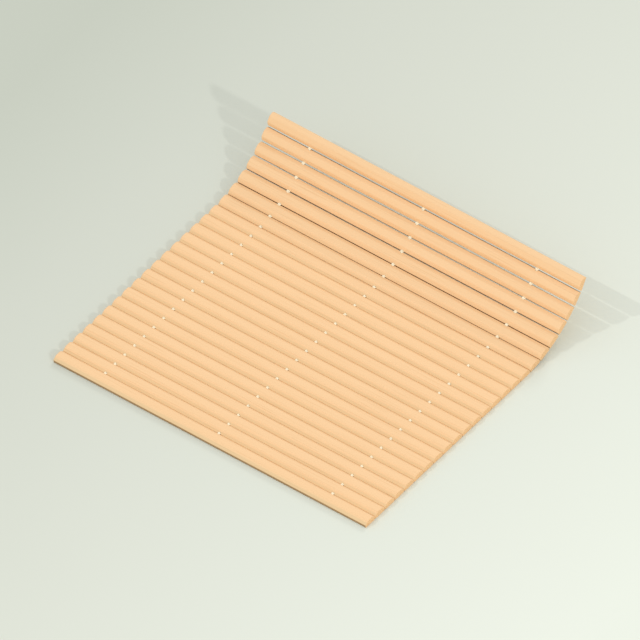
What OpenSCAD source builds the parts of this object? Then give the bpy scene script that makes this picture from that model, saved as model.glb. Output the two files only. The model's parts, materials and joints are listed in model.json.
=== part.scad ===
// Sushi rolling mat: bamboo slats, flat below and crowned above, threaded side by side on rows of
// cotton string that is knotted in every gap. The slats at the rear curl up off the table.
// X runs along the slats, Y from the front edge to the rear edge, and Z is up.
// The origin lies on the table, under the middle of the mat.

/* [Mat] */
// Number of slats from the front edge to the rear edge
slat_count = 24; // [20:1:28]
// Number of slats that lie flat on the table, counted from the front
flat_slats = 17; // [10:1:19]
// Bend at each joint of the curled rear part, in degrees
curl_angle = 8.25; // [0:0.25:10]

/* [Slats] */
// Length of a slat, which is the width of the mat
slat_length = 240; // [190:1:300]
// Width of a slat across its flat face
slat_width = 9.4; // [8:0.1:12]
// Gap between two neighbouring slats
slat_gap = 0.53; // [0.4:0.01:0.8]
// Height of the straight side walls of a slat
wall_height = 2.1; // [1.6:0.1:2.6]
// Rise of the crown above the side walls
crown_rise = 2.1; // [1:0.1:2.5]
// Width of the flat top of the crown, between its two slopes
crown_width = 4.4; // [3:0.1:6]
// Chamfer along the two lower edges of a slat
edge_chamfer = 0.2; // [0.1:0.05:0.4]

/* [String] */
// Distance from the middle row of string to each outer row
row_spacing = 87.3; // [40:0.1:92]
// Height of the string above the flat face of the slats
string_height = 2.1; // [1.6:0.1:2.4]
// Diameter of the string
string_d = 0.9; // [0.6:0.1:1.2]
// Diameter of a knot
knot_d = 2.4; // [1.8:0.1:2.6]
// Wood left between the glued end of a string and the mat's outer edge
end_wall = 2.5; // [1:0.1:4]

/* [Fits] */
// Radial clearance of the string in its hole
string_clearance = 0.05; // [0.03:0.01:0.2]
// Clearance round a knot in the hollow that it sits in
knot_clearance = 0.06; // [0.04:0.01:0.2]

/* [Hidden] */
pitch = slat_width + slat_gap;
slat_height = wall_height + crown_rise;
row_x = [-row_spacing, 0, row_spacing];
hole_d = string_d + 2 * string_clearance;
socket_d = knot_d + 2 * knot_clearance;
past = 1;
round_fn = 48;

// Tilt of slat k, and the place of its front joint line at string height
function tilt(k) = curl_angle * max(0, k - flat_slats);
function front_y(k) = k == 1 ? 0 : front_y(k - 1) + pitch * cos(tilt(k - 1));
function front_z(k) = k == 1 ? string_height : front_z(k - 1) + pitch * sin(tilt(k - 1));

// The rearmost point is on the last slat's lower rear edge, on one side of the chamfer
function edge_y(along, below, angle) = along * cos(angle) + below * sin(angle);
last_edge = pitch - slat_gap / 2;
rear_y = front_y(slat_count) + max(
  edge_y(last_edge, string_height - edge_chamfer, tilt(slat_count)),
  edge_y(last_edge - edge_chamfer, string_height, tilt(slat_count))
);
middle_y = (slat_gap / 2 + rear_y) / 2;

function two_digits(k) = str(k < 10 ? "0" : "", k);
function slat_name(k) = str("slat_", two_digits(k));
function string_name(k) = str("string_", two_digits(k));

// Frame of slat k: its middle, at string height, with Y across the slat and Z out of the crown
module on_slat(k) {
  translate([0, front_y(k) - middle_y, front_z(k)])
    rotate([tilt(k), 0, 0])
      translate([0, pitch / 2, 0])
        children();
}

// Cylinder along Y from one place across the slat to another
module across(d, from, to) {
  translate([0, from, 0])
    rotate([-90, 0, 0])
      cylinder(d = d, h = to - from, $fn = round_fn);
}

// Where the string starts and stops in slat k: it is glued in a blind hole in the end slats
function hole_from(k) = k == 1 ? end_wall - slat_width / 2 : -pitch / 2 - past;
function hole_to(k) = k == slat_count ? slat_width / 2 - end_wall : pitch / 2 + past;

// Cross-section of a slat, with string height at zero
module slat_section() {
  low = -string_height;
  wall_top = low + wall_height;
  top = low + slat_height;
  side = slat_width / 2;
  flat = crown_width / 2;
  polygon([
    [edge_chamfer - side, low],
    [side - edge_chamfer, low],
    [side, low + edge_chamfer],
    [side, wall_top],
    [flat, top],
    [-flat, top],
    [-side, wall_top],
    [-side, low + edge_chamfer]
  ]);
}

module slat(k) {
  color([0.97, 0.81, 0.61])
    on_slat(k)
      difference() {
        rotate([90, 0, 90])
          linear_extrude(slat_length, center = true)
            slat_section();
        for (x = row_x)
          translate([x, 0, 0]) {
            across(hole_d, hole_from(k), hole_to(k));
            if (k > 1)
              translate([0, -pitch / 2, 0])
                sphere(d = socket_d, $fn = round_fn);
            if (k < slat_count)
              translate([0, pitch / 2, 0])
                sphere(d = socket_d, $fn = round_fn);
          }
      }
}

// One stretch of string in slat k, with the knot behind it that the joint turns about
module stretch(k) {
  knot_edge = knot_d / 2 + knot_clearance;
  difference() {
    across(
      string_d,
      k == 1 ? hole_from(k) : -pitch / 2 + knot_edge / 2,
      k == slat_count ? hole_to(k) : pitch / 2
    );
    if (k > 1)
      translate([0, -pitch / 2, 0])
        sphere(d = 2 * knot_edge, $fn = round_fn);
  }
  if (k < slat_count)
    translate([0, pitch / 2, 0])
      sphere(d = knot_d, $fn = round_fn);
}

module strings(k) {
  color([0.98, 0.94, 0.84])
    on_slat(k)
      for (x = row_x)
        translate([x, 0, 0])
          stretch(k);
}

for (k = [1:slat_count]) {
  slat(k);
  strings(k);
}
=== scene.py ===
# %% [markdown]
# A sushi rolling mat is a row of bamboo slats on three cotton strings, with a knot in every gap.
# The construction model gives every slat its place, so the scene starts by loading it. It stays
# where it is, and each detailed piece made here is laid over it in the same frame, in metres.

# %% Load the construction model
import json
import math
import random

import bpy
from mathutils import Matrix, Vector

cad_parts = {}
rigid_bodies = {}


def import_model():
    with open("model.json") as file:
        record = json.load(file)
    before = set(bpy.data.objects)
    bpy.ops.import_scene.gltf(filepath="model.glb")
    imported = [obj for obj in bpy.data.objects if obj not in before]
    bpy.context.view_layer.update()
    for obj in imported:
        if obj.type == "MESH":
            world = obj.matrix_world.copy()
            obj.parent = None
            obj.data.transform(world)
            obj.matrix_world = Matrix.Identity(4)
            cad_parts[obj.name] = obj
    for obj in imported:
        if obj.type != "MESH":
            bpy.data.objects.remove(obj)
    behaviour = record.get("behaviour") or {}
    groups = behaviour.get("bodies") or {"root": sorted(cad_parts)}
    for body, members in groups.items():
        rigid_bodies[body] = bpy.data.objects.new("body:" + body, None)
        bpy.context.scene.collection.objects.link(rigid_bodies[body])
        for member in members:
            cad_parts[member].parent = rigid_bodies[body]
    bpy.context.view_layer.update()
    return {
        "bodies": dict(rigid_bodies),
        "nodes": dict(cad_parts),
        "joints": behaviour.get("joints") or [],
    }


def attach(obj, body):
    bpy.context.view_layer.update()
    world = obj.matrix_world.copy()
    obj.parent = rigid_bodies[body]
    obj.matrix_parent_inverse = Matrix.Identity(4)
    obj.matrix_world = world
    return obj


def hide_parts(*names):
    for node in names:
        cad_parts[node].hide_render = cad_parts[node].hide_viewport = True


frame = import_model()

# %% [markdown]
# The slats hang together at joints, one in every gap, whose axes pass through the knots. Every slat
# could be given its place by hand, but the joints already tell it: a slat lies midway between two
# joints, tilted like the line from one to the other. The first slat lies flat like the second. Past
# the last joint the curl goes on with the same turn.

# %% Find where every slat lies
MM = 0.001
slat_count = len(frame["bodies"])
joint_place = {joint["name"]: Vector(joint["pos_m"]) for joint in frame["joints"]}
gaps = [joint_place[f"bend_{k:02d}"] for k in range(1, slat_count)]

first_step = gaps[1] - gaps[0]
last_step = gaps[-1] - gaps[-2]
turn = (gaps[-2] - gaps[-3]).rotation_difference(last_step)
lines = [gaps[0] - first_step, *gaps, gaps[-1] + turn @ last_step]
pitch = first_step.length

middles = [(front + rear) / 2 for front, rear in zip(lines, lines[1:])]
tilts = [math.atan2((rear - front).z, (rear - front).y) for front, rear in zip(lines, lines[1:])]
print(f"{slat_count} slats, one every {pitch / MM:.2f} mm")
print(f"the last slat is tilted by {math.degrees(tilts[-1]):.2f} degrees")

# %% [markdown]
# The photograph shows parallel edges as parallel lines, so the camera is an orthographic one. It
# looks from the front right, halfway up. The lengths of the slats, of the mat's depth and of the
# curl's height in the picture give its two angles and its scale.

# %% Set up the camera
picture_side = 640
pixels_per_metre = 1627
view_azimuth = math.atan2(3, 4)
view_elevation = math.radians(45)
first_gap_to_centre = Vector((-9.57, 116.19, 0.25)) * MM
looked_at = gaps[0] + first_gap_to_centre
camera_distance = 0.8

towards_camera = Vector((
    math.sin(view_azimuth) * math.cos(view_elevation),
    -math.cos(view_azimuth) * math.cos(view_elevation),
    math.sin(view_elevation),
))
camera_data = bpy.data.cameras.new("camera")
camera_data.type = "ORTHO"
camera_data.ortho_scale = picture_side / pixels_per_metre
camera = bpy.data.objects.new("camera", camera_data)
bpy.context.scene.collection.objects.link(camera)
camera.location = looked_at + camera_distance * towards_camera
camera.rotation_euler = towards_camera.to_track_quat("Z", "Y").to_euler()
bpy.context.scene.camera = camera
print(f"the picture is {camera_data.ortho_scale:.4f} m wide")

# %% [markdown]
# Finishes and shapes are both made of nodes. They could be linked one by one, but a formula is
# easier to read than its links. So a Socket is one output that Python can calculate with: each + or
# * on it adds a Math node.

# %% Calculate with sockets
class Socket:
    """One output in a node tree. Arithmetic on it adds Math nodes."""

    def __init__(self, board, output):
        self.board = board
        self.output = output

    def __getitem__(self, name):
        """Another output of the same node."""
        return Socket(self.board, self.output.node.outputs[name])

    def __add__(self, other):
        return self.board.math("ADD", self, other)

    def __sub__(self, other):
        return self.board.math("SUBTRACT", self, other)

    def __rsub__(self, other):
        return self.board.math("SUBTRACT", other, self)

    def __mul__(self, other):
        return self.board.math("MULTIPLY", self, other)

    def __truediv__(self, other):
        return self.board.math("DIVIDE", self, other)

    def __gt__(self, other):
        return self.board.math("GREATER_THAN", self, other)

    def __lt__(self, other):
        return self.board.math("LESS_THAN", self, other)

    __radd__ = __add__
    __rmul__ = __mul__


print("sockets can be added, subtracted, multiplied, divided and compared")

# %% [markdown]
# The sockets belong to a tree. A Board stands for that tree, and its add method makes any node. It
# sets the node's options first, because they decide which sockets the node shows, and its inputs
# after that.

# %% Add nodes to a tree
class Board:
    """A node tree that is filled one call at a time."""

    def __init__(self, tree):
        self.tree = tree

    def add(self, kind, settings=None, **inputs):
        """Adds a node. Inputs are named as on the node, with _ for a space, or in_0 for the first one."""
        node = self.tree.nodes.new(kind)
        for name, value in (settings or {}).items():
            if name == "stops":
                self.set_stops(node.color_ramp.elements, value)
            else:
                setattr(node, name, value)
        for name, value in inputs.items():
            key = int(name[3:]) if name.startswith("in_") else name.replace("_", " ")
            for part in value if isinstance(value, list) else [value]:
                self.connect(node.inputs[key], part)
        shown = [output for output in node.outputs if output.enabled]
        return Socket(self, shown[0]) if shown else node

    def connect(self, socket, value):
        """Links an input to a Socket, or gives it a fixed value."""
        if isinstance(value, Socket):
            self.tree.links.new(value.output, socket)
        else:
            socket.default_value = value

    def set_stops(self, elements, stops):
        """Gives a ramp its stops, which are pairs of a place and a colour."""
        while len(elements) < len(stops):
            elements.new(1)
        for element, (place, colour) in zip(elements, stops):
            element.position = place
            element.color = colour

    def math(self, operation, first, second=0.0, third=0.0):
        """One calculation on numbers."""
        kind = {"operation": operation}
        return self.add("ShaderNodeMath", kind, in_0=first, in_1=second, in_2=third)

    def vector(self, x=0.0, y=0.0, z=0.0):
        """A vector made of three numbers."""
        return self.add("ShaderNodeCombineXYZ", X=x, Y=y, Z=z)

    def split(self, vector):
        """The parts of a vector, read as ["X"], ["Y"] and ["Z"]."""
        return self.add("ShaderNodeSeparateXYZ", Vector=vector)

    def ramp(self, share, stops):
        """The colour at this share of a ramp."""
        return self.add("ShaderNodeValToRGB", {"stops": stops}, Fac=share)

    def mix(self, share, first, second, kind="MIX"):
        """Blends two colours: in_0 is the share of the second, in_6 and in_7 are the colours."""
        settings = {"data_type": "RGBA", "blend_type": kind}
        return self.add("ShaderNodeMix", settings, in_0=share, in_6=first, in_7=second)


print("methods of a board:", [name for name in vars(Board) if not name.startswith("_")])

# %% [markdown]
# Node colours are linear, while colours read off a picture are in the display's curve. One helper
# turns the second kind into the first.

# %% Colours as they are seen
def linear(value):
    """The linear strength of a display value from 0 to 255."""
    share = value / 255
    return share / 12.92 if share <= 0.04045 else ((share + 0.055) / 1.055) ** 2.4


def seen(red, green, blue):
    """The linear colour of a display colour from 0 to 255."""
    return (linear(red), linear(green), linear(blue), 1)


print("pale bamboo is", [round(v, 3) for v in seen(251, 209, 159)])

# %% [markdown]
# The mat lies on a plain pale floor. It grows slowly paler from left to right along the slats, as in
# the photograph. Uneven lamps could do that too, but they would change the bamboo with it, so the
# uneven light is painted light: a blend in the floor's colour.

# %% Lay the floor
floor_side = 6
blend_from, blend_to = -0.28, 0.28
# Painted light: the floor's colour grows paler towards the right, in place of uneven light.
painted_light_floor_stops = [
    (0, seen(198, 203, 190)),
    (0.2, seen(209, 213, 201)),
    (0.5, seen(219, 223, 211)),
    (1, seen(234, 239, 227)),
]


def floor_finish():
    """A matt material with painted light, a blend that grows paler from left to right."""
    material = bpy.data.materials.new("pale floor")
    material.use_nodes = True
    board = Board(material.node_tree)
    place = board.split(board.add("ShaderNodeTexCoord")["Object"])
    share = (place["X"] - blend_from) / (blend_to - blend_from)
    shader = material.node_tree.nodes["Principled BSDF"]
    board.connect(shader.inputs["Base Color"], board.ramp(share, painted_light_floor_stops))
    shader.inputs["Roughness"].default_value = 0.9
    shader.inputs["Specular IOR Level"].default_value = 0.1
    return material


bpy.ops.mesh.primitive_plane_add(size=floor_side)
floor = bpy.context.object
floor.name = "floor"
floor.data.materials.append(floor_finish())
print("floor laid at height", floor.location.z)

# %% [markdown]
# The photograph is lit like a table in a bright room: most light comes softly from everywhere. Its
# shadows tell where the lamps are. The raised end throws one shadow to the left and one to the
# right, both a little backwards, so two lamps hang in front, one low at the right and one higher at
# the left. The narrow shadow along the front edge needs a third one, low behind the mat.

# %% Hang the lamps
lamp_distance = 4.0
room_share = 0.785


def lamp(name, direction, side, share):
    """A square lamp that gives this share of the light on the floor."""
    towards = Vector(direction).normalized()
    data = bpy.data.lights.new(name, "AREA")
    data.size = side
    data.energy = share * (math.pi * lamp_distance) ** 2 / towards.z
    light = bpy.data.objects.new(name, data)
    light.location = lamp_distance * towards
    light.rotation_euler = towards.to_track_quat("Z", "Y").to_euler()
    bpy.context.scene.collection.objects.link(light)


lamp("right_lamp", (1.68, -0.65, 1.0), side=0.15, share=0.1)
lamp("front_left_lamp", (-0.62, -0.79, 1.0), side=0.05, share=0.1)
lamp("rear_lamp", (-0.2, 1.7, 1.0), side=0.5, share=0.07)

world = bpy.data.worlds.new("room")
bpy.context.scene.world = world
world.use_nodes = True
room = world.node_tree.nodes["Background"]
room.inputs["Color"].default_value = seen(255, 255, 255)
room.inputs["Strength"].default_value = room_share
bpy.context.scene.view_settings.view_transform = "Standard"

# %% [markdown]
# All slats are alike, and so are all strings, so each kind of piece is one Geometry Nodes tree with
# named inputs. A Form holds such a tree. Its close method lays the shape in its place in the mat and
# ends the tree. Its piece method fills in the inputs, reads the shape back as a plain mesh and drops
# the modifier, because the export wants plain meshes.

# %% Shapes made of geometry nodes
class Form:
    """A geometry tree with named inputs, read as form["Name"]."""

    kinds = {
        float: "NodeSocketFloat", int: "NodeSocketInt", bool: "NodeSocketBool", str: "NodeSocketMaterial",
    }

    def __init__(self, name, inputs):
        self.tree = bpy.data.node_groups.new(name, "GeometryNodeTree")
        self.board = Board(self.tree)
        self.identifiers = {}
        self.tree.interface.new_socket("Geometry", in_out="OUTPUT", socket_type="NodeSocketGeometry")
        for key, value in inputs.items():
            kind = self.kinds[type(value)]
            socket = self.tree.interface.new_socket(key, in_out="INPUT", socket_type=kind)
            if kind != "NodeSocketMaterial":
                socket.default_value = value
            self.identifiers[key] = socket.identifier
        self.source = self.tree.nodes.new("NodeGroupInput")

    def __getitem__(self, key):
        """The tree's input of this name."""
        return Socket(self.board, self.source.outputs[key])

    def close(self, shape):
        """Lays the shape in its place in the mat, and ends the tree with real geometry in one finish."""
        place = self.board.vector(y=self["Y"], z=self["Z"])
        turn = self.board.vector(x=self["Tilt"])
        laid = self.board.add("GeometryNodeTransform", Geometry=shape, Translation=place, Rotation=turn)
        real = self.board.add("GeometryNodeRealizeInstances", Geometry=laid)
        done = self.board.add("GeometryNodeSetMaterial", Geometry=real, Material=self["Finish"])
        out = self.tree.nodes.new("NodeGroupOutput")
        self.board.connect(out.inputs["Geometry"], done)

    def piece(self, name, values):
        """One plain mesh object made with these inputs."""
        made = bpy.data.objects.new(name, bpy.data.meshes.new(name))
        bpy.context.scene.collection.objects.link(made)
        modifier = made.modifiers.new("form", "NODES")
        modifier.node_group = self.tree
        for key, value in values.items():
            modifier[self.identifiers[key]] = value
        graph = bpy.context.evaluated_depsgraph_get()
        mesh = bpy.data.meshes.new_from_object(made.evaluated_get(graph))
        made.modifiers.clear()
        made.data = mesh
        mesh.name = name
        return made


print("inputs may be", [kind.__name__ for kind in Form.kinds])

# %% [markdown]
# Two steps come back in both trees. Each tree needs the three rows of string, and each leaves
# attributes on its mesh, which are values that the finish reads later.

# %% Steps that both trees share
def string_rows(form):
    """Three points across the mat, one in each row of string."""
    board = form.board
    start = board.vector(x=0 - form["Row Spacing"])
    step = board.vector(x=form["Row Spacing"])
    return board.add("GeometryNodeMeshLine", Count=3, Start_Location=start, Offset=step)


def stored(form, shape, name, value, settings=None):
    """The shape with one more attribute. The settings say what kind of value it is."""
    return form.board.add(
        "GeometryNodeStoreNamedAttribute", settings, Geometry=shape, Name=name, Value=value
    )


print("shared steps:", string_rows.__name__, stored.__name__)

# %% [markdown]
# Seen from its end, a slat is flat below, straight at its walls and crowned above. The section
# starts as a rectangle as high as the walls. Its upper edge is cut into steps and lifted into the
# crown, which is nearly flat in the middle and slopes evenly to both walls. Then the corners are
# rounded. In the photograph the flat slats nearly touch, while the gaps in the curl are wide and
# dark, so each shoulder has a flare, by which it reaches out of the slat or is set back.

# %% Draw the section of a slat
touching = 0.01 * MM
corner_steps = 4

slat_form = Form("slat", {
    "Length": 240 * MM, "Width": 9.4 * MM, "Wall Height": 2.1 * MM, "Crown Rise": 2.1 * MM,
    "Crown Width": 4.4 * MM, "Crown Softness": 0.7 * MM, "Crown Cuts": 19, "Corner Radius": 0.36 * MM,
    "Shoulder Radius": 0.25 * MM, "End Radius": 0.25 * MM, "String Height": 2.1 * MM,
    "Row Spacing": 87.3 * MM, "Hole Diameter": 1.0 * MM, "Hole From": -6 * MM, "Hole To": 6 * MM,
    "Hollow Diameter": 2.52 * MM, "Hollow Offset": 4.965 * MM, "Front Hollow": True, "Rear Hollow": True,
    # Slope Shade, Wall Shade and Rear Shade say how much painted shade a slat takes.
    "Front Flare": 0.0, "Rear Flare": 0.0, "Slope Shade": 1.0, "Wall Shade": 1.0, "Rear Shade": 1.0,
    "Y": 0.0, "Z": 0.0, "Tilt": 0.0, "Tone": 0.5, "Finish": "",
})


def slat_section(form):
    """The outline of a slat across its length, with string height at zero."""
    board = form.board
    width, height = form["Width"], form["Wall Height"]
    half, side = width / 2, height / 2
    box = board.add("GeometryNodeCurvePrimitiveQuadrilateral", Width=width, Height=height)
    here = board.split(board.add("GeometryNodeInputPosition"))
    upper = here["Y"] > 0
    cuts = upper * (here["X"] > 0) * form["Crown Cuts"]
    stepped = board.add("GeometryNodeSubdivideCurve", Curve=box, Cuts=cuts)
    inward = half - board.math("ABSOLUTE", here["X"])
    slope = form["Crown Rise"] / (half - form["Crown Width"] / 2)
    crown = board.math("SMOOTH_MIN", inward * slope, form["Crown Rise"], form["Crown Softness"])
    lift = side - form["String Height"] + upper * crown
    flare = (here["X"] > 0) * form["Rear Flare"] - (here["X"] < 0) * form["Front Flare"]
    outward = upper * flare * board.math("ABSOLUTE", here["X"]) / half
    lifted = board.add("GeometryNodeSetPosition", Geometry=stepped, Offset=board.vector(outward, lift))
    low = here["Y"] < touching - form["String Height"]
    wall = inward < touching
    radius = low * form["Corner Radius"] + wall * (1 - low) * form["Shoulder Radius"]
    kind = {"mode": "POLY"}
    return board.add(
        "GeometryNodeFilletCurve", kind, Curve=lifted, Count=corner_steps, Radius=radius, Limit_Radius=True
    )


section = slat_section(slat_form)
print("section nodes:", len(slat_form.tree.nodes))

# %% [markdown]
# The section is swept along a line of ten points. A plain extrusion would leave knife-sharp ends,
# so the ends are eased: the outer four points at either end stand as on a quarter of a circle, and
# the section shrinks a little on them. The two inner points stand a sixth of the length further in.

# %% Sweep the section along the slat
eased_steps = 3
last_point = 2 * (eased_steps + 1) + 1
inner_part = 6


def swept(form, outline):
    """The solid slat with eased ends, before drilling. It runs along Z here."""
    board = form.board
    line = board.add("GeometryNodeCurvePrimitiveLine", End=(0, 0, 1))
    points = board.add("GeometryNodeResampleCurve", Curve=line, Count=last_point + 1)
    index = board.add("GeometryNodeInputIndex")
    from_end = board.math("MINIMUM", index, last_point - index)
    round_step = board.math("MINIMUM", from_end, eased_steps) * math.radians(90 / eased_steps)
    inner_step = board.math("MAXIMUM", from_end - eased_steps, 0.0)
    eased = form["End Radius"] * (1 - board.math("COSINE", round_step))
    inset = eased + inner_step * form["Length"] / inner_part
    along = (form["Length"] / 2 - inset) * board.math("SIGN", index - last_point / 2)
    placed = board.add("GeometryNodeSetPosition", Geometry=points, Position=board.vector(z=along))
    shrink = form["End Radius"] / (form["Width"] / 2) * (1 - board.math("SINE", round_step))
    return board.add(
        "GeometryNodeCurveToMesh", Curve=placed, Profile_Curve=outline, Scale=1 - shrink, Fill_Caps=True
    )


solid = swept(slat_form, section)
print("swept along", slat_form.tree.interface.items_tree["Length"].default_value, "m")

# %% [markdown]
# Three rows of string pass through a slat. In each row a straight hole runs across the slat, and a
# round hollow in either wall takes half of a knot. The end slats keep their outer walls whole. One
# boolean cuts all of them, and its manifold solver is taken because it leaves a closed mesh.

# %% Drill the holes
def drilled(form, solid):
    """The slat, lying along X, with a hole and two hollows in each row."""
    board = form.board
    lying = board.add("GeometryNodeTransform", Geometry=solid, Rotation=(math.pi / 2, 0, math.pi / 2))
    rows = string_rows(form)
    length = form["Hole To"] - form["Hole From"]
    rod = board.add("GeometryNodeMeshCylinder", Vertices=16, Radius=form["Hole Diameter"] / 2, Depth=length)
    centre = board.vector(y=(form["Hole From"] + form["Hole To"]) / 2)
    rod = board.add("GeometryNodeTransform", Geometry=rod, Translation=centre, Rotation=(math.pi / 2, 0, 0))
    ball = board.add("GeometryNodeMeshUVSphere", Segments=24, Rings=12, Radius=form["Hollow Diameter"] / 2)
    offset = form["Hollow Offset"]
    front = board.add("GeometryNodeTransform", Geometry=ball, Translation=board.vector(y=0 - offset))
    rear = board.add("GeometryNodeTransform", Geometry=ball, Translation=board.vector(y=offset))
    kind = "GeometryNodeInstanceOnPoints"
    tools = [
        board.add(kind, Points=rows, Instance=rod),
        board.add(kind, Points=rows, Instance=front, Selection=form["Front Hollow"]),
        board.add(kind, Points=rows, Instance=rear, Selection=form["Rear Hollow"]),
    ]
    cut = {"operation": "DIFFERENCE", "solver": "MANIFOLD"}
    return board.add("GeometryNodeMeshBoolean", cut, Mesh_1=lying, Mesh_2=tools)


wood = drilled(slat_form, solid)
print("slat nodes so far:", len(slat_form.tree.nodes))

# %% [markdown]
# The crown is smooth to the touch while the cut ends and the holes have crisp edges, so shading is
# smooth but for edges that bend by more than 30 degrees. The slat also carries what its finish needs
# to know: its own tone, how high each point lies, which way each face looks, and how much painted
# shade its slopes and walls take.

# %% Finish the slat tree
crisp_from = math.radians(30)


def shaded(form, wood):
    """Smooth shading with crisp edges."""
    board = form.board
    smooth = board.add("GeometryNodeSetShadeSmooth", {"domain": "FACE"}, Geometry=wood)
    sharp = board.add("GeometryNodeInputMeshEdgeAngle") > crisp_from
    kind = {"domain": "EDGE"}
    return board.add("GeometryNodeSetShadeSmooth", kind, Geometry=smooth, Selection=sharp, Shade_Smooth=False)


def labelled(form, wood):
    """The slat with the attributes for its finish."""
    board = form.board
    here = board.split(board.add("GeometryNodeInputPosition"))
    rise = (here["Z"] + form["String Height"]) / (form["Wall Height"] + form["Crown Rise"])
    facing = board.add("GeometryNodeInputNormal")
    wood = stored(form, wood, "tone", form["Tone"])
    wood = stored(form, wood, "rise", rise)
    wood = stored(form, wood, "facing", facing, {"domain": "FACE", "data_type": "FLOAT_VECTOR"})
    # How much painted shade the front slope, the rear wall and the walls take.
    wood = stored(form, wood, "slope_shade", form["Slope Shade"])
    wood = stored(form, wood, "rear_shade", form["Rear Shade"])
    return stored(form, wood, "wall_shade", form["Wall Shade"])


slat_form.close(labelled(slat_form, shaded(slat_form, wood)))
print("slat tree nodes:", len(slat_form.tree.nodes))

# %% [markdown]
# The string is made of spun cotton yarn. A smooth tube would look like wire up close, and ridges of
# real geometry would take too many faces. So each strand carries an attribute called twist, which is
# 1 on the ridges of the yarn and -1 in its furrows, and the finish turns it into bump and into painted
# light and shade, lighter on the ridges and darker in the furrows. It comes from two waves, one round
# the ring and one along the path: together they wind like a screw.

# %% Spin a strand of yarn
string_form = Form("string", {
    "Row Spacing": 87.3 * MM, "String Diameter": 0.9 * MM, "Lay": 2.4 * MM, "From": -4 * MM, "To": 4 * MM,
    "Knot Diameter": 2.4 * MM, "Knot Length": 2.1 * MM, "Strand Share": 0.29, "Knotted": True,
    "Knot At": 4.965 * MM, "Y": 0.0, "Z": 0.0, "Tilt": 0.0, "Finish": "",
})
ridges = 2


def spun(form, path, sides, radius, turns, caps):
    """A round strand of yarn along a path, with the attribute called twist."""
    board = form.board
    pair = {"data_type": "FLOAT_VECTOR"}
    ring = board.add("GeometryNodeCurvePrimitiveCircle", Resolution=sides, Radius=radius)
    around = board.add("GeometryNodeSplineParameter")["Factor"] * (ridges * math.tau)
    wave = board.vector(board.math("SINE", around), board.math("COSINE", around))
    ring = stored(form, ring, "around", wave, pair)
    along = board.add("GeometryNodeSplineParameter")["Factor"] * (turns * math.tau)
    wave = board.vector(board.math("COSINE", along), board.math("SINE", along))
    path = stored(form, path, "along", wave, pair)
    strand = board.add("GeometryNodeCurveToMesh", Curve=path, Profile_Curve=ring, Fill_Caps=caps)
    around = board.add("GeometryNodeInputNamedAttribute", pair, Name="around")
    along = board.add("GeometryNodeInputNamedAttribute", pair, Name="along")
    twist = board.add("ShaderNodeVectorMath", {"operation": "DOT_PRODUCT"}, in_0=around, in_1=along)["Value"]
    return stored(form, strand, "twist", twist)


print("a strand has", ridges, "ridges")

# %% [markdown]
# Each slat carries its own stretch of every string. It is a cord of three plies that touch and wind
# round one line. Their radius and their distance from that line follow from the cord's diameter.

# %% Lay the cord
ply_count = 3
cord_points = 41


def laid_cord(form):
    """Three plies that wind round the line of the string."""
    board = form.board
    start = board.vector(y=form["From"])
    end = board.vector(y=form["To"])
    line = board.add("GeometryNodeCurvePrimitiveLine", Start=start, End=end)
    points = board.add("GeometryNodeResampleCurve", Curve=line, Count=cord_points)
    kind = {"domain": "SPLINE"}
    plies = board.add("GeometryNodeDuplicateElements", kind, Geometry=points, Amount=ply_count)
    ply_radius = form["String Diameter"] / (2 + 4 / math.sqrt(3))
    arm = ply_radius * (2 / math.sqrt(3))
    at = board.split(board.add("GeometryNodeInputPosition"))["Y"]
    turn = (at / form["Lay"] + plies["Duplicate Index"] / ply_count) * math.tau
    offset = board.vector(arm * board.math("COSINE", turn), 0.0, arm * board.math("SINE", turn))
    wound = board.add("GeometryNodeSetPosition", Geometry=plies, Offset=offset)
    return spun(form, wound, sides=8, radius=ply_radius, turns=6, caps=True)


cord = laid_cord(string_form)
print("nodes up to the cord:", len(string_form.tree.nodes))

# %% [markdown]
# Behind each slat the string has a knot, which keeps the next slat away. It is one overhand knot
# pulled tight. Its strand follows a trefoil, the closed curve of such a knot, whose formula reaches
# 3 units from its axis. A plain ball would show as the same white dot, but not up close.

# %% Tie the knot
knot_steps = 96
trefoil_reach = 3


def tight_knot(form):
    """A strand on a trefoil path about the line of the string, pulled into a ball."""
    board = form.board
    loop = board.add("GeometryNodeCurvePrimitiveCircle", Resolution=knot_steps, Radius=1.0)
    turn = board.add("GeometryNodeInputIndex") * (math.tau / knot_steps)
    strand = form["Knot Diameter"] * form["Strand Share"] / 2
    size = (form["Knot Diameter"] / 2 - strand) / trefoil_reach
    x = size * (board.math("SINE", turn) + 2 * board.math("SINE", 2 * turn))
    z = size * (board.math("COSINE", turn) - 2 * board.math("COSINE", 2 * turn))
    y = (form["Knot Length"] / 2 - strand) * board.math("SINE", 3 * turn) + form["Knot At"]
    path = board.add("GeometryNodeSetPosition", Geometry=loop, Position=board.vector(x, y, z))
    return spun(form, path, sides=12, radius=strand, turns=15, caps=False)


knot = tight_knot(string_form)
print("nodes up to the knot:", len(string_form.tree.nodes))

# %% [markdown]
# The stretch and its knot come back in all three rows of the slat, so both are made once and put on
# the rows' points.

# %% Finish the string tree
def strung(form, cord, knot):
    """The cord in all three rows, with the knots."""
    board = form.board
    rows = string_rows(form)
    cords = board.add("GeometryNodeInstanceOnPoints", Points=rows, Instance=cord)
    knots = board.add("GeometryNodeInstanceOnPoints", Points=rows, Instance=knot, Selection=form["Knotted"])
    both = board.add("GeometryNodeJoinGeometry", Geometry=[cords, knots])
    return board.add("GeometryNodeSetShadeSmooth", {"domain": "FACE"}, Geometry=both)


string_form.close(strung(string_form, cord, knot))
print("string tree nodes:", len(string_form.tree.nodes))

# %% [markdown]
# Bamboo has long fibres and no rings. They show as streaks and thin dark lines along a slat, and as
# dots on its cut ends. A picture of wood would repeat and blur up close, so they come from patterns
# that are worked out at every point: noise drawn out along the slat for its sides, and cells for the
# dots on its ends.

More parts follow.
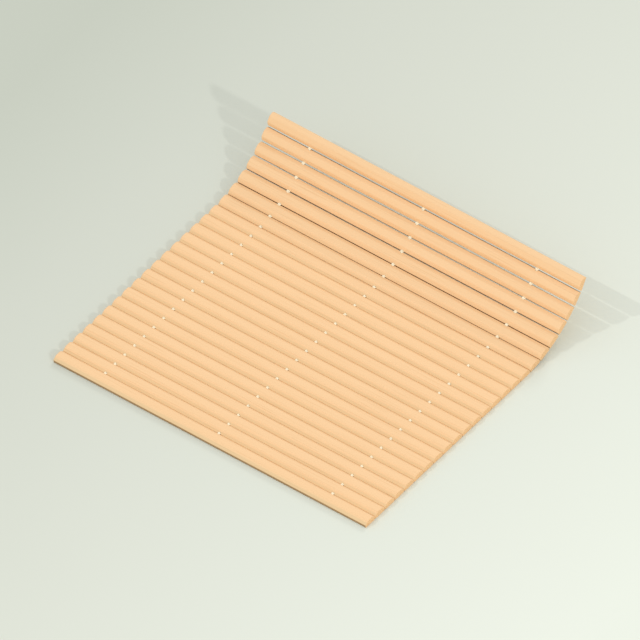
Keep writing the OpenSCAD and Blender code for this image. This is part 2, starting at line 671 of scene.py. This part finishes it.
# %% Draw the fibres
WHITE = (1, 1, 1, 1)
BLACK = (0, 0, 0, 1)


def attribute(board, name):
    """An attribute of the mesh, as a number or as a vector."""
    return board.add("ShaderNodeAttribute", {"attribute_name": name})


def grain(board, axes, stretch, scale, detail):
    """Noise that is drawn out along the slat."""
    drawn_out = board.vector(axes["X"] / stretch, axes["Y"], axes["Z"])
    return board.add("ShaderNodeTexNoise", Vector=drawn_out, Scale=scale, Detail=detail)


def cut_end(board, axes):
    """The colour of a cut end, with the fibres as dots."""
    across = board.vector(0.0, axes["Y"], axes["Z"])
    cell = board.add("ShaderNodeTexVoronoi", Vector=across, Scale=1500)["Distance"]
    return board.ramp(cell, [(0.14, seen(205, 155, 105)), (0.34, seen(242, 195, 141))])


print("fibre helpers:", grain.__name__, cut_end.__name__)

# %% [markdown]
# In the photograph the walls between the slats are darker than the light alone makes them, and the
# front slopes of the flat slats are a little darker, so both get painted shade in their colour. The
# attributes say where: rise goes from 0 on the flat face to 1 on the crown, facing tells which way a
# face looks, and the shades tell how much of the painted shade each slat takes.

# %% Paint shade on the sides of the slats
# The wall and slope colours are painted shade, darker where shade falls on and between the slats; the
# underside colour is only duller.
PAINTED_WALL_SHADE = (0.42, 0.39, 0.33, 1)
PAINTED_SLOPE_SHADE = (0.81, 0.9, 0.89, 1)
UNDERSIDE = (0.86, 0.88, 0.88, 1)
painted_wall_shade_stops = [(0.38, WHITE), (0.46, BLACK)]
painted_slope_shade_stops = [(0.38, BLACK), (0.46, WHITE), (0.72, WHITE), (0.84, BLACK)]
looks_front, looks_rear, looks_down = -0.2, 0.9, -0.9


def tinted(board, wood, tint):
    """The wood colour multiplied by a tint."""
    return board.mix(1.0, wood, tint, "MULTIPLY")


def sides_shaded(board, wood):
    """The wood colour with painted shade: darker on the walls and a little deeper on the front slopes. It is
    duller below.
    """
    rise = attribute(board, "rise")["Fac"]
    faces = board.split(attribute(board, "facing")["Vector"])
    front = faces["Y"] < looks_front
    rear = (faces["Y"] > looks_rear) * attribute(board, "rear_shade")["Fac"]
    # Painted shade on the front slopes, and on the walls that face front or rear.
    painted_slope_shade_mask = front * (board.ramp(rise, painted_slope_shade_stops) * attribute(board, "slope_shade")["Fac"])
    painted_wall_shade_mask = board.ramp(rise, painted_wall_shade_stops) * board.math("MAXIMUM", front, rear)
    painted_wall_shade_mask = painted_wall_shade_mask * attribute(board, "wall_shade")["Fac"]
    colour = board.mix(painted_slope_shade_mask, wood, tinted(board, wood, PAINTED_SLOPE_SHADE))
    colour = board.mix(painted_wall_shade_mask, colour, tinted(board, wood, PAINTED_WALL_SHADE))
    return board.mix(faces["Z"] < looks_down, colour, tinted(board, wood, UNDERSIDE))


print("shaded below", painted_wall_shade_stops[-1][0], "of the height")

# %% [markdown]
# The bamboo is pale and satin. Its fibres change the colour a little, and they give a slight grain
# to the touch as well, through the roughness and the bump. Each slat has its own tone, because
# bamboo varies from strip to strip.

# %% Finish the bamboo
FIBRE_LINE = (0.93, 0.89, 0.84, 1)
cut_end_starts = 119.8 * MM
wood_stops = [(0.2, seen(243, 200, 149)), (0.8, seen(250, 209, 160))]
line_stops = [(0.64, BLACK), (0.7, WHITE)]


def bamboo_finish():
    """The material of the slats."""
    material = bpy.data.materials.new("bamboo")
    material.use_nodes = True
    board = Board(material.node_tree)
    axes = board.split(board.add("ShaderNodeTexCoord")["Object"])
    fibre = grain(board, axes, stretch=60, scale=2600, detail=2)
    streak = grain(board, axes, stretch=60, scale=500, detail=3)
    vessel = grain(board, axes, stretch=90, scale=1900, detail=1)
    tone = attribute(board, "tone")["Fac"]
    share = fibre * 0.35 + streak * 0.35 + tone * 0.1 + 0.1
    wood = board.ramp(share, wood_stops)
    line = board.ramp(vessel, line_stops)
    wood = board.mix(line, wood, tinted(board, wood, FIBRE_LINE))
    at_end = board.math("ABSOLUTE", axes["X"]) > cut_end_starts
    colour = board.mix(at_end, sides_shaded(board, wood), cut_end(board, axes))
    shader = material.node_tree.nodes["Principled BSDF"]
    board.connect(shader.inputs["Base Color"], colour)
    board.connect(shader.inputs["Roughness"], 0.5 + streak * 0.15 + fibre * 0.1)
    height = fibre * 0.6 + streak * 0.4 - line * 0.5
    bump = board.add("ShaderNodeBump", Strength=0.3, Distance=0.04 * MM, Height=height)
    board.connect(shader.inputs["Normal"], bump)
    return material


bamboo = bamboo_finish()
print("bamboo nodes:", len(bamboo.node_tree.nodes))

# %% [markdown]
# The string is unbleached cotton. Its twist makes the ridges of the yarn stand out in the bump, and it
# paints them a little lighter and the furrows a little darker, as painted light and shade; fine noise
# adds the fuzz of the fibres.

# %% Finish the cotton
cotton_with_painted_furrow_shade_stops = [(0.15, seen(240, 222, 186)), (0.5, seen(255, 246, 220))]


def cotton_finish():
    """The material of the strings."""
    material = bpy.data.materials.new("cotton")
    material.use_nodes = True
    board = Board(material.node_tree)
    place = board.add("ShaderNodeTexCoord")["Object"]
    fuzz = board.add("ShaderNodeTexNoise", Vector=place, Scale=9000, Detail=3)
    patch = board.add("ShaderNodeTexNoise", Vector=place, Scale=900, Detail=1)
    twist = attribute(board, "twist")["Fac"]
    # The twist paints the ridges lighter and the furrows darker: painted light and shade.
    share = twist * 0.25 + fuzz * 0.3 + patch * 0.3 + 0.2
    colour = board.ramp(share, cotton_with_painted_furrow_shade_stops)
    shader = material.node_tree.nodes["Principled BSDF"]
    board.connect(shader.inputs["Base Color"], colour)
    board.connect(shader.inputs["Roughness"], 0.8 + fuzz * 0.2)
    bump = board.add("ShaderNodeBump", Strength=0.7, Distance=0.06 * MM, Height=twist * 0.5 + fuzz)
    board.connect(shader.inputs["Normal"], bump)
    return material


cotton = cotton_finish()
print("cotton nodes:", len(cotton.node_tree.nodes))

# %% [markdown]
# The construction model's own solids get the same two finishes. They are hidden later, when the
# detailed pieces stand in for them, but a solid that was left showing would still look right.

# %% Dress the construction model
for name, node in frame["nodes"].items():
    node.data.materials.clear()
    node.data.materials.append(bamboo if name.startswith("slat") else cotton)
print("dressed nodes:", len(frame["nodes"]))

# %% [markdown]
# The gaps of the photograph are thin warm lines where the mat is flat and wide dark ones in the
# curl. Rules on the tilt of a slat, in degrees, give that: flat slats reach out a little at both
# shoulders, slats in the curl are set back, most at the front, and the painted shade on the walls
# grows darker with the tilt while the slopes lose their painted shade.

# %% Fit the gaps to the photograph
flat_flare = 0.19 * MM
front_set_back = 0.67 * MM
rear_set_back = 0.34 * MM
full_curl = 33
curl_step = 8.25
steps_before_rear = 4
# The painted shade on a flat slat's front slope and walls, and the tilt over which the walls' painted shade
# grows.
flat_slope_shade = 0.62
flat_wall_shade = 0.3
wall_shade_tilt = 24


def curl_share(tilt):
    """0 for a flat slat, and 1 from the full curl on."""
    return min(1.0, max(0.0, math.degrees(tilt)) / full_curl)


def front_flare(tilt):
    """How far the front shoulder reaches out. Below zero it is set back."""
    return flat_flare - front_set_back * curl_share(tilt) ** 1.5


def rear_flare(tilt):
    """The same for the rear shoulder, which is set back only on the last slats."""
    steps = math.degrees(tilt) / curl_step - steps_before_rear
    return flat_flare - rear_set_back * min(1.0, max(0.0, steps))


def slope_shade(tilt):
    """How much painted shade the front slope takes, from 0 to 1."""
    return flat_slope_shade * (1 - curl_share(tilt))


def wall_shade(tilt):
    """How much painted shade the walls of a slat take, from 0 to 1."""
    return min(1.0, flat_wall_shade + max(0.0, math.degrees(tilt)) / wall_shade_tilt)


for k in (2, slat_count - 1):
    print(f"slat {k}: flares {front_flare(tilts[k - 1]) / MM:.2f} and {rear_flare(tilts[k - 1]) / MM:.2f} mm")

# %% [markdown]
# The holes and the hollows take the string and its knots with a little play. Knots in the flat part
# show smaller in the photograph, so they are tied smaller.

# %% Size the holes and the knots
gap = 0.53 * MM
end_wall = 2.5 * MM
past_wall = 1.0 * MM
knot_diameter = 2.4 * MM
flat_knot_diameter = 2.1 * MM
flat_knots = 16
knot_clearance = 0.06 * MM

blind_end = (pitch - gap) / 2 - end_wall
through = pitch / 2 + past_wall
stretch_start = (knot_diameter / 2 + knot_clearance) / 2 - pitch / 2


def knot_across(k):
    """The diameter of the knot behind slat k."""
    return knot_diameter if k > flat_knots else flat_knot_diameter


print("knots across, in mm:", sorted({round(knot_across(k) / MM, 2) for k in range(1, slat_count)}))

# %% [markdown]
# Each slat now gets its own values. It rides on its body and stands in for its node of the
# construction model. The front edge and the rear edge of the mat have no gap before them, so the
# outer shoulders of the end slats keep their shape.

# %% Make the slats
tone_seed = 7
tone_source = random.Random(tone_seed)

for k, (middle, tilt) in enumerate(zip(middles, tilts), start=1):
    slat = slat_form.piece(f"bamboo_{k:02d}", {
        "Hole From": -blind_end if k == 1 else -through,
        "Hole To": blind_end if k == slat_count else through,
        "Hollow Diameter": knot_across(k) + 2 * knot_clearance,
        "Front Hollow": k > 1,
        "Rear Hollow": k < slat_count,
        "Front Flare": front_flare(tilt) if k > 1 else 0.0,
        "Rear Flare": rear_flare(tilt) if k < slat_count else 0.0,
        # Painted shade on the front slope and the walls; the rear wall of the last slat takes none.
        "Slope Shade": slope_shade(tilt),
        "Wall Shade": wall_shade(tilt) if k > 1 else 1.0,
        "Rear Shade": 1.0 if k < slat_count else 0.0,
        "Y": middle.y, "Z": middle.z, "Tilt": tilt,
        "Tone": tone_source.random(), "Finish": bamboo,
    })
    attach(slat, f"slat_{k:02d}")
    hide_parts(f"slat_{k:02d}")
print("faces in one slat:", len(slat.data.polygons))

# %% [markdown]
# A real string is one piece from the front to the rear. Here it is cut at every knot, so that it
# bends with the mat: each slat carries its own stretch, which starts in the knot before it. The
# first and the last stretch end in their blind holes.

# %% Make the strings
for k, (middle, tilt) in enumerate(zip(middles, tilts), start=1):
    string = string_form.piece(f"cotton_{k:02d}", {
        "From": -blind_end if k == 1 else stretch_start,
        "To": blind_end if k == slat_count else pitch / 2,
        "Knot Diameter": knot_across(k), "Knotted": k < slat_count, "Knot At": pitch / 2,
        "Y": middle.y, "Z": middle.z, "Tilt": tilt, "Finish": cotton,
    })
    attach(string, f"slat_{k:02d}")
    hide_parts(f"string_{k:02d}")
print("faces in one stretch:", len(string.data.polygons))

# %% [markdown] The mat's real size is kept in the construction model, and the detailed pieces have
# to fill the same box.
